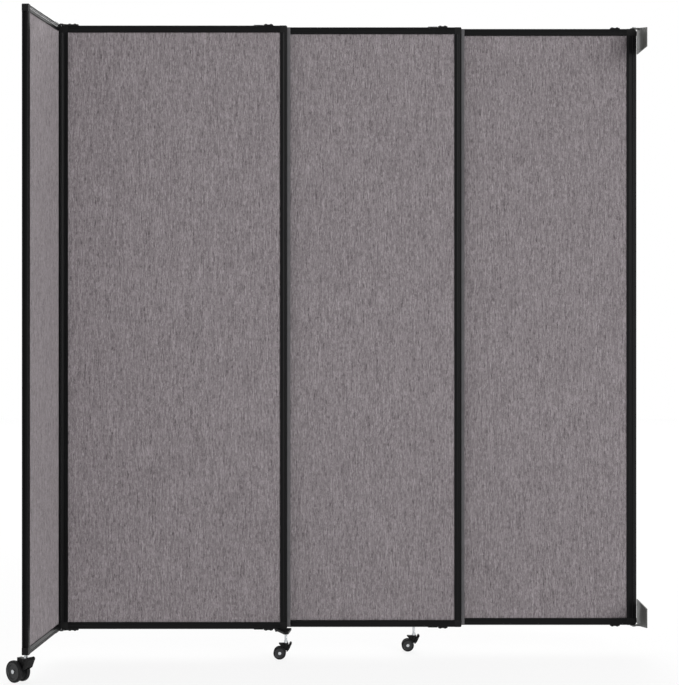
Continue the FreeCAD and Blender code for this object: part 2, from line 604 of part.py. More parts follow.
# Twin-wheel swivel caster, set out with its stem on the upright axis, wheels toward -X, floor at zero
def caster(name, size, place, seat, stem_up):
    """Seat is the height of what the stem's collar bears on, stem_up its length above that."""

    def own(text):
        return text.replace("@", f"{size}_")

    def across(x, z, radius, width):
        return rod((x, f"-({width}) / 2", z), radius, width, "y")

    top, radius = own("@caster_top"), own("@wheel_radius")
    axle_x, lever_x = own("-@trail"), own("@lever_out")
    lever_z, broad = own("(@caster_top - @lever_drop)"), own("@housing_width")

    # Zinc-plated stem with a collar
    stem_low, collar_low = f"{top} - stem_tail", f"{top} + swivel_clearance"
    stem = [
        ("0", stem_low),
        ("stem_radius", stem_low),
        ("stem_radius", collar_low),
        ("collar_radius", collar_low),
        ("collar_radius", f"{collar_low} + collar_height"),
        ("neck_radius", f"{collar_low} + collar_height"),
        ("neck_radius", seat),
        ("stem_radius", seat),
        ("stem_radius", f"{seat} + {stem_up}"),
        ("0", f"{seat} + {stem_up}"),
    ]
    node(f"{name}_caster_stem", group(turned(stem, "XZ_Plane")), place)

    # Housing between the wheels, with a hood over them and a lug for the brake
    side = [
        (own("@crown_out"), top),
        (own("-@hood_out"), top),
        (own("-@hood_out"), own("@caster_top - @hood_thickness")),
        (own("-@notch_out"), own("@caster_top - @notch_drop")),
        (own("-@trail - @leg_radius"), radius),
        (own("-@trail + @leg_radius"), radius),
        (lever_x, f"{lever_z} - {size}_lug_radius"),
        (own("@crown_out"), lever_z),
    ]
    housing = fuse(
        plate(side, "XZ_Plane", broad, symmetric=True),
        across(axle_x, radius, own("@leg_radius"), broad),
        across(lever_x, lever_z, own("@lug_radius"), broad),
        rod(("0", "0", own("@caster_top - @boss_height")), own("@boss_radius"), own("@boss_height")),
    )
    node(f"{name}_caster_housing", cut(
        housing,
        rod(("0", "0", f"{top} - stem_bore_depth"), "stem_radius + fit_clearance", "stem_bore_depth"),
        across(axle_x, radius, own("@axle_radius + fit_clearance"), broad),
        across(lever_x, lever_z, "trunnion_radius + fit_clearance", broad),
    ), place)

    # Axle pressed through the housing, with a round head outside each wheel
    inner = own("(@housing_width / 2 + wheel_clearance)")
    outer = f"({inner} + {size}_wheel_width)"
    head = own("@axle_head")
    node(f"{name}_caster_axle", fuse(
        across(axle_x, radius, own("@axle_radius"), f"2 * {outer}"),
        rod((axle_x, f"{outer} - axle_head_height", radius), head, "axle_head_height", "y"),
        rod((axle_x, f"-{outer}", radius), head, "axle_head_height", "y"),
    ), place)

    # Two wheels, dished on their outer faces
    bore, hub, rim = own("@axle_radius + fit_clearance"), own("@hub_radius"), own("@rim_radius")
    tread, shoulder = own("@wheel_radius - @wheel_shoulder"), own("@wheel_shoulder")
    dish, hub_end = f"{outer} - {size}_wheel_recess", f"{outer} - axle_head_height - wheel_clearance"
    section = [
        (bore, inner),
        (tread, inner),
        (radius, f"{inner} + {shoulder}"),
        (radius, f"{outer} - {shoulder}"),
        (tread, outer),
        (rim, outer),
        (rim, dish),
        (hub, dish),
        (hub, hub_end),
        (bore, hub_end),
    ]
    middle = (axle_x, "0", radius)
    far_wheel = turned(section, "XY_Plane", middle)
    near_wheel = turned([(x, f"-({y})") for x, y in section], "XY_Plane", middle)
    node(f"{name}_caster_wheels", group(near_wheel, far_wheel), place)

    # Brake lever, forked round the lug, with a round pedal in front and a shoe for each wheel
    thick, shoe_x, shoe_z = own("@lever_thickness"), own("@shoe_out"), own("@caster_top - @shoe_drop")
    knob_x, knob_z, knob = own("@knob_out"), own("(@caster_top - @knob_drop)"), own("@knob_radius")
    lever = [
        (shoe_x, shoe_z),
        (f"{shoe_x} + {thick}", shoe_z),
        (f"{lever_x} + {thick}", f"{lever_z} - {thick}"),
        (f"{knob_x} + {knob}", knob_z),
        (f"{knob_x} - {knob}", knob_z),
        (f"{lever_x} - {thick}", f"{lever_z} + {thick}"),
    ]
    slot_end = own("(@lever_out + @lug_radius + lug_clearance)")
    slot_wide = own("(@housing_width + 2 * lever_clearance)")
    slot = box(
        (own("-@wheel_radius"), f"-{slot_wide} / 2", "0"),
        (f"{slot_end} + {radius}", slot_wide, top),
    )
    broad_lever = own("@lever_width")
    forked = cut(plate(lever, "XZ_Plane", broad_lever, symmetric=True), slot)
    node(f"{name}_caster_brake", fuse(
        forked,
        across(knob_x, knob_z, knob, broad_lever),
        across(lever_x, lever_z, "trunnion_radius", broad_lever),
    ), place)


FLOOR = "(-mount_height)"
return_stem = (
    f"{RETURN_X} + frame_face / 2 * cos({TURN})",
    f"{RETURN_Y} + frame_face / 2 * sin({TURN})",
    FLOOR,
    "return_caster_angle",
)
lead_stem = (f"{LEAD_X} + {stem_x}", f"{LEAD_Y} - outrigger_reach", FLOOR, "0")
anchor_stem = (f"{ANCHOR_X} + frame_face / 2", "0", FLOOR, "0")
caster("return", "large", return_stem, "floor_gap", "stem_depth")
caster("lead", "small", lead_stem, "floor_gap - outrigger_thickness", "outrigger_thickness")
caster("anchor", "small", anchor_stem, "floor_gap", "stem_depth")

# Everything is checked before anything is written
doc.recompute()
for made in doc.Objects:
    if {"Invalid", "Error"} & set(made.State):
        raise RuntimeError(f"{made.Label} failed: {made.State}")
for made in nodes:
    if made.Shape.isNull() or not made.Shape.isValid() or not made.Shape.Solids:
        raise RuntimeError(f"{made.Label} has no sound shape")
for made in nodes:
    made.Shape.exportStep(f"parts/{made.Label}.step")
print(len(nodes), "sub-parts,", sum(len(made.Shape.Solids) for made in nodes), "solids")
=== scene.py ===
import json
import math

import bmesh
import bpy
import numpy as np
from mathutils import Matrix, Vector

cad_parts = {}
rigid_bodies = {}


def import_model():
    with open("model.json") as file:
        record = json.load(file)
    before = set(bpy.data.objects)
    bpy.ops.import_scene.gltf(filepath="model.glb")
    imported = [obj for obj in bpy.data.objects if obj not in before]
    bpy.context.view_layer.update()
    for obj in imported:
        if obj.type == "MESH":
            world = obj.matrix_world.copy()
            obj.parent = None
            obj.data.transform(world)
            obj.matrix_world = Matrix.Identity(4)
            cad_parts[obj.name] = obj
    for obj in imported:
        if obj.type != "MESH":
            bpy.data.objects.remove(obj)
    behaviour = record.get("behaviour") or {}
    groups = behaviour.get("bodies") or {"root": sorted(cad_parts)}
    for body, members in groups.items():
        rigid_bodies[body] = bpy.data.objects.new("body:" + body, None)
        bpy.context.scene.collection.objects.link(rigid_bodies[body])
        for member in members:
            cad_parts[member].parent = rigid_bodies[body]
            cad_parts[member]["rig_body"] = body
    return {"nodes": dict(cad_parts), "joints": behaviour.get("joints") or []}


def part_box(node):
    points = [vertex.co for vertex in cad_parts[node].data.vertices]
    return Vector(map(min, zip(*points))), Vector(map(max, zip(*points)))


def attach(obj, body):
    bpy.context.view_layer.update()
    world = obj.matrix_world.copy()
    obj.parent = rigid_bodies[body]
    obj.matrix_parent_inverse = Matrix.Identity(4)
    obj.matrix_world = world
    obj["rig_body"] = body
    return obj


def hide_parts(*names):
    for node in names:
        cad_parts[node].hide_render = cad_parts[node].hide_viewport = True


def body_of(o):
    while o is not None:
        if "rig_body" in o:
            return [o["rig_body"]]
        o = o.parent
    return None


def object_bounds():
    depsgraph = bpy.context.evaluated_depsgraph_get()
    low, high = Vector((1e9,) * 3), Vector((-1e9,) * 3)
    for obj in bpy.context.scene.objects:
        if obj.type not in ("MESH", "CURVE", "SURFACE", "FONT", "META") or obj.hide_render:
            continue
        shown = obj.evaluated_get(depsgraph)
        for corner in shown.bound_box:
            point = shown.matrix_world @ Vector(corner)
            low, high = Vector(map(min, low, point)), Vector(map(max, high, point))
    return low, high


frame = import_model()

cad_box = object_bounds()

# Wall brackets, upper and lower: bent steel plates, powder coated, each screwed to the wall through four
# holes, with an ear that holds the turned steel pin on which the whole divider swings. Their grey is partly
# painted light, lighter than the near-black coat of the hinge leaves, for the light the plates catch.
MM = 0.001
PLATE_EDGE = 0.9 * MM
PIN_EDGE = 0.5 * MM
EDGE_STEPS = 3
MERGE_GAP = 0.002 * MM
FLAT_TURN = math.radians(0.4)
SHARP_TURN = math.radians(32)
NOISE_SPAN = {"From Min": 0.3, "From Max": 0.7}


def linear(code):
    """One sRGB hex colour as linear RGBA: the sRGB curve undone on each of its three bytes."""
    shown = np.array([int(code[i:i + 2], 16) for i in (1, 3, 5)]) / 255
    light = np.where(shown <= 0.04045, shown / 12.92, ((shown + 0.055) / 1.055) ** 2.4)
    return (*light.tolist(), 1.0)


def add(tree, kind, sockets=None, **settings):
    """One shader node with its settings; each socket takes a value or another node's output."""
    made = tree.nodes.new("ShaderNode" + kind)
    for name, value in settings.items():
        setattr(made, name, value)
    for name, value in (sockets or {}).items():
        if isinstance(value, bpy.types.NodeSocket):
            tree.links.new(value, made.inputs[name])
        else:
            made.inputs[name].default_value = value
    return made


def mottled(name, dark, light, patch, roughness, grain, depth, metallic=0.0, shine=0.5, stretch=(1, 1, 1)):
    """A finish of two close colours in soft patches, with a fine grain: patch, grain and depth in mm.
    The patches also shift the roughness between its two values; shine is the share of light that the skin
    throws straight back, and stretch draws the grain out along an axis."""
    made = bpy.data.materials.new(name)
    made.use_nodes = True
    tree = made.node_tree
    skin = tree.nodes["Principled BSDF"]
    skin.inputs["Metallic"].default_value = metallic
    skin.inputs["Specular IOR Level"].default_value = shine
    place = add(tree, "TexCoord").outputs["Object"]
    patches = add(tree, "TexNoise", {"Vector": place, "Scale": 1 / (patch * MM), "Detail": 4.0})
    tone = add(tree, "MapRange", {"Value": patches.outputs["Fac"], **NOISE_SPAN})
    colour = add(tree, "Mix", {
        0: tone.outputs["Result"], 6: linear(dark), 7: linear(light)}, data_type="RGBA")
    tree.links.new(colour.outputs[2], skin.inputs["Base Color"])
    sheen = add(tree, "MapRange", {
        "Value": patches.outputs["Fac"], **NOISE_SPAN, "To Min": roughness[0], "To Max": roughness[1]})
    tree.links.new(sheen.outputs["Result"], skin.inputs["Roughness"])
    drawn = add(tree, "Mapping", {"Vector": place, "Scale": tuple(1 / s for s in stretch)})
    grains = add(tree, "TexNoise", {
        "Vector": drawn.outputs["Vector"], "Scale": 1 / (grain * MM), "Detail": 2.0})
    relief = add(tree, "Bump", {
        "Height": grains.outputs["Fac"], "Strength": 0.5, "Distance": depth * MM})
    tree.links.new(relief.outputs["Normal"], skin.inputs["Normal"])
    return made


def eased(node, edge, finish):
    """The CAD piece with its edges broken: a copy is merged, its flat faces made whole, and every edge
    sharper than 32 degrees rounded to the given radius."""
    source = frame["nodes"][node]
    mesh = source.data.copy()
    mesh.name = node + "_eased"
    if "custom_normal" in mesh.attributes:
        mesh.attributes.remove(mesh.attributes["custom_normal"])
    mesh.materials.clear()
    mesh.materials.append(finish)
    work = bmesh.new()
    work.from_mesh(mesh)
    bmesh.ops.remove_doubles(work, verts=work.verts, dist=MERGE_GAP)
    bmesh.ops.dissolve_limit(work, angle_limit=FLAT_TURN, verts=work.verts, edges=work.edges)
    work.to_mesh(mesh)
    work.free()
    mesh.polygons.foreach_set("material_index", np.zeros(len(mesh.polygons), dtype=np.int32))
    mesh.shade_smooth()
    piece = bpy.data.objects.new(node + "_piece", mesh)
    bpy.context.scene.collection.objects.link(piece)
    rounding = piece.modifiers.new("edges", "BEVEL")
    rounding.width = edge
    rounding.segments = EDGE_STEPS
    rounding.limit_method = "ANGLE"
    rounding.angle_limit = SHARP_TURN
    even = piece.modifiers.new("even", "WEIGHTED_NORMAL")
    even.keep_sharp = False
    even.weight = 100
    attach(piece, body_of(source)[0])
    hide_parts(node)


# Powder coat on steel: a sprayed, baked skin with a faint orange peel, which turns bright at a glancing
# angle. The real peel of about 1 mm is drawn 2 mm wide so that it shows.
# Painted light: the brackets' grey is partly the sheen the plates catch, drawn into the colour of a
# near-black coat.
sheen_lit_powder_coat = mottled(
    "powder_coated_steel_painted_light", "#4e4f4d", "#5a5b58", 45, (0.40, 0.52), 2.0, 0.05, shine=0.3)
# Turned steel: bare grey metal with fine rings left by the tool.
turned_steel = mottled(
    "turned_steel", "#8b8c8f", "#a4a5a7", 12, (0.28, 0.40), 0.8, 0.03, metallic=1.0)
eased("lower_wall_bracket", PLATE_EDGE, sheen_lit_powder_coat)
eased("upper_wall_bracket", PLATE_EDGE, sheen_lit_powder_coat)
eased("pivot_pins", PIN_EDGE, turned_steel)

# Panel frames: stiles and rails cut from one slotted aluminium extrusion, black anodised. The face is
# flat, with eased edges and a shallow channel along its outer third that holds a half-round bead.
CHANNEL_DEPTH = 1.0 * MM
CHANNEL_WIDTH = 4.2 * MM
BEAD_PLACE = 9.2 * MM
BEAD_WIDTH = 1.2 * MM
EDGE_ROLL = 0.35 * MM
EDGE_ROUND = 2.5 * MM
SLOT_HALF = 5.2 * MM
SLOT_DEPTH = 7.0 * MM
GROOVE_HALF = 8.0 * MM
GROOVE_DEPTH = 8.0 * MM
FACE_POINTS = 81
CHANNEL_ORDER = 6
ROLL_ORDER = 36
CREASE = math.radians(35)
RETURN_TURN = math.radians(85.4)


def set_out(stiles, turn):
    """Measures a panel from its two stiles: their points are turned back until the panel lies along X.
    Gives its width, height, face and depth, and a function from the panel's own x, y, z to the row's
    frame."""
    back = np.array([
        [math.cos(turn), math.sin(turn), 0], [-math.sin(turn), math.cos(turn), 0], [0, 0, 1]])
    clouds = []
    for stile in stiles:
        mesh = frame["nodes"][stile].data
        points = np.empty(len(mesh.vertices) * 3)
        mesh.vertices.foreach_get("co", points)
        clouds.append(points.reshape(-1, 3) @ back.T)
    low, high = clouds[0].min(0), clouds[1].max(0)
    face = np.ptp(clouds[0][:, 0])
    depth = high[1] - low[1]
    corner = np.array([low[0], (low[1] + high[1]) / 2, low[2] - face])

    def place(x, y, z):
        own = np.stack(np.broadcast_arrays(x, y, z), axis=-1) + corner
        return own @ back

    return high[0] - low[0], high[2] - low[2] + 2 * face, face, depth, place


def ring_mesh(name, rings, ends, finish, measure=None):
    """A closed surface through rings of points: quads join each ring to the next. The last ring either
    gets a flat face, as the first does, or joins the first. Measure gives each point's place on its
    UV map."""
    count, around = rings.shape[:2]
    index = np.arange(count * around).reshape(count, around)
    if not ends:
        index = np.vstack([index, index[:1]])
    beside = np.roll(index, -1, axis=1)
    faces = np.stack([index[:-1], beside[:-1], beside[1:], index[1:]], axis=-1).reshape(-1, 4).tolist()
    if ends:
        faces += [index[0][::-1].tolist(), index[-1].tolist()]
    mesh = bpy.data.meshes.new(name)
    mesh.from_pydata(rings.reshape(-1, 3).tolist(), [], faces)
    work = bmesh.new()
    work.from_mesh(mesh)
    bmesh.ops.recalc_face_normals(work, faces=work.faces)
    work.to_mesh(mesh)
    work.free()
    if measure is not None:
        corners = np.empty(len(mesh.loops), dtype=np.int32)
        mesh.loops.foreach_get("vertex_index", corners)
        layer = mesh.uv_layers.new(name="UVMap")
        layer.uv.foreach_set("vector", measure.reshape(-1, 2)[corners].ravel().astype(np.float32))
    mesh.shade_smooth()
    mesh.set_sharp_from_angle(angle=CREASE)
    mesh.materials.append(finish)
    piece = bpy.data.objects.new(name, mesh)
    bpy.context.scene.collection.objects.link(piece)
    return piece


def extrusion_section(face, depth):
    """The extrusion's outline as inward distance and depth, from the middle of its slot right round.
    The face stands at half the depth, less a channel of the sixth order that a Gaussian bead fills again,
    less a high power of the distance from its middle that eases both edges, less a quarter circle at the
    outer edge. Points crowd to the edges by a cosine."""
    inward = face * (1 - np.cos(np.linspace(0, np.pi, FACE_POINTS))) / 2
    channel = np.exp(-((inward - BEAD_PLACE) / CHANNEL_WIDTH) ** CHANNEL_ORDER)
    bead = np.exp(-((inward - BEAD_PLACE) / BEAD_WIDTH) ** 2)
    roll = np.abs(2 * inward / face - 1) ** ROLL_ORDER
    quarter = EDGE_ROUND - np.sqrt(EDGE_ROUND ** 2 - np.maximum(EDGE_ROUND - inward, 0) ** 2)
    front = depth / 2 - CHANNEL_DEPTH * channel * (1 - bead) - EDGE_ROLL * roll - quarter
    lip = face - GROOVE_DEPTH
    half = np.vstack([
        [[SLOT_DEPTH, 0.0], [SLOT_DEPTH, SLOT_HALF], [0.0, SLOT_HALF]],
        np.stack([inward, front], axis=-1),
        [[face, GROOVE_HALF], [lip, GROOVE_HALF], [lip, 0.0]],
    ])
    return np.vstack([half, half[-2:0:-1] * [1, -1]])


def frame_member(node, panel, side):
    """One stile or rail: the section carried straight along the panel's edge between two corner blocks."""
    width, height, face, depth, place = panel
    section = extrusion_section(face, depth)
    inward, across = section[:, 0], section[:, 1]
    steps = np.hypot(*(section - np.roll(section, 1, axis=0)).T)
    reach = height if side in ("left", "right") else width
    along = np.array([face, reach - face])[:, None]
    edge = {"left": inward, "right": width - inward, "bottom": inward, "top": height - inward}[side]
    if side in ("left", "right"):
        rings = place(edge, across, along)
    else:
        rings = place(along, across, edge)
    measure = np.stack(np.broadcast_arrays(along, np.cumsum(steps)), axis=-1)
    piece = ring_mesh(node + "_piece", rings, True, anodised_aluminium, measure)
    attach(piece, body_of(frame["nodes"][node])[0])
    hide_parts(node)


# Black anodised aluminium: a dyed oxide skin, dark and half glossy, with faint die lines along its
# length. The lines of about 0.3 mm are drawn 1.5 mm wide so that they show.
anodised_aluminium = bpy.data.materials.new("black_anodised_aluminium")
anodised_aluminium.use_nodes = True
tree = anodised_aluminium.node_tree
skin = tree.nodes["Principled BSDF"]
skin.inputs["Specular IOR Level"].default_value = 0.1
lengthwise = add(tree, "Mapping", {
    "Vector": add(tree, "TexCoord").outputs["UV"], "Scale": (1 / (400 * MM), 1 / (1.5 * MM), 1)})
die_lines = add(tree, "TexNoise", {"Vector": lengthwise.outputs["Vector"], "Scale": 1.0, "Detail": 3.0})
tone = add(tree, "MapRange", {"Value": die_lines.outputs["Fac"], **NOISE_SPAN})
dyed = add(tree, "Mix", {
    0: tone.outputs["Result"], 6: linear("#060607"), 7: linear("#0e0e0f")}, data_type="RGBA")
tree.links.new(dyed.outputs[2], skin.inputs["Base Color"])
gloss = add(tree, "MapRange", {
    "Value": die_lines.outputs["Fac"], **NOISE_SPAN, "To Min": 0.24, "To Max": 0.33})
tree.links.new(gloss.outputs["Result"], skin.inputs["Roughness"])
relief = add(tree, "Bump", {
    "Height": die_lines.outputs["Fac"], "Strength": 0.35, "Distance": 0.02 * MM})
tree.links.new(relief.outputs["Normal"], skin.inputs["Normal"])

PANEL_SIDES = {
    "anchor": ("left", "pivot"),
    "middle": ("left", "right"),
    "lead": ("hinge", "slide"),
    "return": ("end", "hinge"),
}
panels = {}
for name, sides in PANEL_SIDES.items():
    stiles = [f"{name}_{side}_stile" for side in sides]
    panels[name] = set_out(stiles, RETURN_TURN if name == "return" else 0.0)
    for node, side in zip(stiles, ("left", "right")):
        frame_member(node, panels[name], side)
    frame_member(f"{name}_top_rail", panels[name], "top")
    frame_member(f"{name}_bottom_rail", panels[name], "bottom")

# Corner blocks: black moulded nylon, each with two tenons driven into the hollows of a stile and a rail.
# The two at the wall are longer, rounded off, and bored for the pivot pins.
BLOCK_EDGE = 1.6 * MM

# Glass-filled nylon with a spark-eroded grain: a soft, even, slightly grey black. The grain of about
# 0.2 mm is drawn 1 mm wide so that it shows.
moulded_nylon = mottled(
    "moulded_nylon", "#101011", "#191919", 20, (0.40, 0.52), 1.0, 0.03, shine=0.1)
for name in PANEL_SIDES:
    eased(f"{name}_corner_blocks", BLOCK_EDGE, moulded_nylon)

# Core boards: stiff resin-bonded fibreboard, cut to size and caught in the groove of all four members.
# They stay as the solids are, because cloth hides both faces.

# Fibreboard: dull brown and slightly rough, with the short fibres showing as patches.
fibreboard = mottled("resin_bonded_fibreboard", "#6f6253", "#8a7b68", 6, (0.80, 0.95), 1.4, 0.2)
for name in PANEL_SIDES:
    board = frame["nodes"][f"{name}_core"]
    board.data.materials.clear()
    board.data.materials.append(fibreboard)

# Panel cloth: woven polyester, one sheet pulled tight over each face of a board, with its edges caught
# in the groove of the frame. It lies level over the board and falls a little just inside the frame.
CLOTH_THICKNESS = 1.2 * MM
CLOTH_INSET = 17.9 * MM
CLOTH_SEAT = 7.6 * MM
CLOTH_CROWN = 1.5 * MM
CLOTH_FALL = 7.0 * MM
CLOTH_COLUMNS = 60
CLOTH_ROWS = 120
ROLL_STEP = 2.37
END_STEP = 2.2 * MM
PICK_STEP = 2.6 * MM


def stretched_cloth(name, side):
    """One sheet as a grid that closes up toward its edges by a cosine. Its distance from the panel's
    middle plane is the seat in the groove plus a crown times one less an exponential of the distance
    inside the frame's opening. Its UV map is its place on the roll of cloth, in metres."""
    width, height, face, _, place = panels[name]
    flat = (width - 2 * CLOTH_INSET, height - 2 * CLOTH_INSET)
    across = CLOTH_INSET + flat[0] * (1 - np.cos(np.linspace(0, np.pi, CLOTH_COLUMNS))) / 2
    up = CLOTH_INSET + flat[1] * (1 - np.cos(np.linspace(0, np.pi, CLOTH_ROWS))) / 2
    x, z = np.meshgrid(across, up)
    inside = np.minimum.reduce([x - face, width - face - x, z - face, height - face - z])
    crown = CLOTH_CROWN * (1 - np.exp(-np.maximum(inside, 0) / CLOTH_FALL))
    points = place(x, side * (CLOTH_SEAT + crown), z)
    rows, columns = x.shape
    index = np.arange(rows * columns).reshape(rows, columns)
    quads = np.stack([index[:-1, :-1], index[:-1, 1:], index[1:, 1:], index[1:, :-1]], axis=-1)
    if side > 0:
        quads = quads[..., ::-1]
    label = f"{name}_cloth_{'back' if side > 0 else 'front'}"
    mesh = bpy.data.meshes.new(label)
    mesh.from_pydata(points.reshape(-1, 3).tolist(), [], quads.reshape(-1, 4).tolist())
    roll = np.stack([x + ROLL_STEP * (list(PANEL_SIDES).index(name) + side), z], axis=-1).reshape(-1, 2)
    mesh.uv_layers.new(name="UVMap").uv.foreach_set(
        "vector", roll[quads.reshape(-1)].ravel().astype(np.float32))
    mesh.shade_smooth()
    mesh.materials.append(woven_polyester)
    piece = bpy.data.objects.new(label, mesh)
    bpy.context.scene.collection.objects.link(piece)
    wall = piece.modifiers.new("thickness", "SOLIDIFY")
    wall.thickness = CLOTH_THICKNESS
    wall.offset = -1
    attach(piece, f"{name}_panel")
    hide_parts(f"{name}_cloth")


def fleck_layer(tree, place, wide, tall, detail, bend=0.0):
    """One layer of flecks: noise drawn out to a width across the cloth and a height along the warp, both
    in mm."""
    way = add(tree, "Mapping", {"Vector": place, "Scale": (1 / (wide * MM), 1 / (tall * MM), 1)})
    noise = add(tree, "TexNoise", {
        "Vector": way.outputs["Vector"], "Scale": 1.0, "Detail": detail, "Distortion": bend},
        noise_dimensions="2D")
    return noise.outputs["Fac"]


# Woven polyester with upright slubs: a dull mauve grey, flecked lighter and darker along the warp and
# faintly across it, in broad soft streaks over a plain weave. Threads of about 0.5 mm are drawn 2.2 and
# 2.6 mm apart, and slubs of about 1 mm 4 mm wide, so that they show.
woven_polyester = bpy.data.materials.new("woven_slub_polyester")
woven_polyester.use_nodes = True
tree = woven_polyester.node_tree
skin = tree.nodes["Principled BSDF"]
skin.inputs["Roughness"].default_value = 0.92
skin.inputs["Specular IOR Level"].default_value = 0.2
skin.inputs["Sheen Weight"].default_value = 0.08
place = add(tree, "TexCoord").outputs["UV"]
slubs = fleck_layer(tree, place, 4, 60, 0.0, bend=1.6)
streaks = fleck_layer(tree, place, 22, 150, 1.0, bend=1.0)
warp = fleck_layer(tree, place, 3.6, 11, 0.0, bend=1.0)
weft = fleck_layer(tree, place, 9, 2.5, 2.0)
threads = add(tree, "Mix", {0: 0.2, 2: warp, 3: weft})
lengthwise = add(tree, "Mix", {0: 0.2, 2: slubs, 3: streaks})
flecks = add(tree, "Mix", {0: 0.5, 2: lengthwise.outputs[0], 3: threads.outputs[0]})
# A wave at scale 1 repeats every tenth of pi.
ends = add(tree, "TexWave", {
    "Vector": place, "Scale": math.pi / (10 * END_STEP), "Distortion": 0.0}, bands_direction="X")
picks = add(tree, "TexWave", {
    "Vector": place, "Scale": math.pi / (10 * PICK_STEP), "Distortion": 0.0}, bands_direction="Y")
weave = add(tree, "Mix", {0: 0.45, 2: ends.outputs["Fac"], 3: picks.outputs["Fac"]})
cloth_tone = add(tree, "Mix", {0: 0.16, 2: flecks.outputs[0], 3: weave.outputs[0]})
tone = add(tree, "MapRange", {"Value": cloth_tone.outputs[0], "From Min": 0.28, "From Max": 0.72})
yarn = add(tree, "Mix", {
    0: tone.outputs["Result"], 6: linear("#514a4d"), 7: linear("#a39c9f")}, data_type="RGBA")
tree.links.new(yarn.outputs[2], skin.inputs["Base Color"])
relief = add(tree, "Bump", {"Height": weave.outputs[0], "Strength": 0.5, "Distance": 0.3 * MM})
tree.links.new(relief.outputs["Normal"], skin.inputs["Normal"])
for name in PANEL_SIDES:
    stretched_cloth(name, -1)
    stretched_cloth(name, 1)

# Edge seals: extruded soft rubber strips, pressed by their roots into the slot of each right-hand stile.
# Their round lips brush the next panel, or the wall, and close the gap to light.
LIP_HALF = 8.0 * MM
LIP_OUT = 11.5 * MM
ROOT_HALF = 5.0 * MM
ROOT_DEPTH = 6.8 * MM
ROOT_LAP = 0.2 * MM
LIP_POINTS = 33
LIP_ORDER = 3


def seal_strip(node, name, finish):
    """The strip in two lengths that meet at the stile's face: a root carried along the slot between the
    corner blocks, and a lip, whose outline is half a superellipse of the third order, along the whole
    strip."""
    width, height, face, _, place = panels[name]
    low, high = (corner[2] - place(0, 0, 0)[2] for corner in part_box(node))
    turn = np.linspace(np.pi / 2, -np.pi / 2, LIP_POINTS)
    out = LIP_OUT * np.abs(np.cos(turn)) ** (2 / LIP_ORDER)
    half = LIP_HALF * np.sign(np.sin(turn)) * np.abs(np.sin(turn)) ** (2 / LIP_ORDER)
    root = np.array([
        [-ROOT_DEPTH, ROOT_HALF], [ROOT_LAP, ROOT_HALF], [ROOT_LAP, -ROOT_HALF], [-ROOT_DEPTH, -ROOT_HALF]])
    for label, section, span in (
        ("lip", np.stack([out, half], axis=-1), (low, high)),
        ("root", root, (face, height - face)),
    ):
        rings = place(width + section[:, 0], section[:, 1], np.array(span)[:, None])
        piece = ring_mesh(f"{node}_{label}", rings, True, finish)
        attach(piece, f"{name}_panel")
        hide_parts(node)


# Extruded rubber: dull, with a dry bloom and faint lines along its length. The strips between panels are
# dark grey. The one at the wall is the same rubber with painted shade: it is drawn near black for the shade
# it stands in by the wall.
soft_rubber = mottled(
    "extruded_rubber", "#454446", "#525153", 30, (0.62, 0.78), 1.4, 0.04,
    shine=0.3, stretch=(1, 1, 40))
# Painted shade: the wall seal's near-black colour stands in for shade on the same grey rubber.
wall_shade_rubber = mottled(
    "wall_seal_rubber_painted_shade", "#121213", "#1b1b1c", 30, (0.55, 0.70), 1.4, 0.04,
    shine=0.1, stretch=(1, 1, 40))
seal_strip("anchor_wall_seal", "anchor", wall_shade_rubber)
seal_strip("middle_edge_seal", "middle", soft_rubber)
seal_strip("lead_edge_seal", "lead", soft_rubber)

# Slide guides: moulded nylon pieces bolted across the rails where two panels overlap, at top and bottom,
# each with a tongue that runs in the slot of the neighbouring panel's rail. The wall panel has two plain
# bolted stops besides.
GUIDE_EDGE = 0.9 * MM
for name in ("anchor", "middle", "lead"):
    eased(f"{name}_slide_guides", GUIDE_EDGE, moulded_nylon)

# Hinges between the return and the lead panel: two steel leaves, powder coated, bolted along the rails
# at top and bottom, with their eyes on a steel pin off the panels' front corners.
LEAF_EDGE = 0.6 * MM
HINGE_PIN_EDGE = 0.6 * MM

# Black powder coat: the same baked skin as on the wall brackets, near black.
black_powder_coat = mottled(
    "black_powder_coated_steel", "#111112", "#191919", 45, (0.40, 0.52), 2.0, 0.05, shine=0.12)
for name in ("return", "lead"):
    eased(f"{name}_hinge_leaves", LEAF_EDGE, black_powder_coat)
eased("hinge_pins", HINGE_PIN_EDGE, turned_steel)

# Bolts: black oxide steel, button headed, through the guides, the leaves and the outrigger into the
# floor of the extrusion's slot.
BOLT_EDGE = 1.1 * MM

# Black oxide on steel: a thin dark skin through which the metal still gleams.
blackened_steel = mottled(
    "black_oxide_steel", "#2a2a2c", "#3a3a3c", 8, (0.34, 0.46), 0.7, 0.02, metallic=1.0)
for name in PANEL_SIDES:
    eased(f"{name}_bolts", BOLT_EDGE, blackened_steel)

# Outrigger: a thick steel arm, powder coated, bolted under the lead panel's bottom rail. It carries the
# lead caster in front of the panel, so that the drawn-out row can't tip.
ARM_EDGE = 1.6 * MM
eased("lead_outrigger", ARM_EDGE, black_powder_coat)

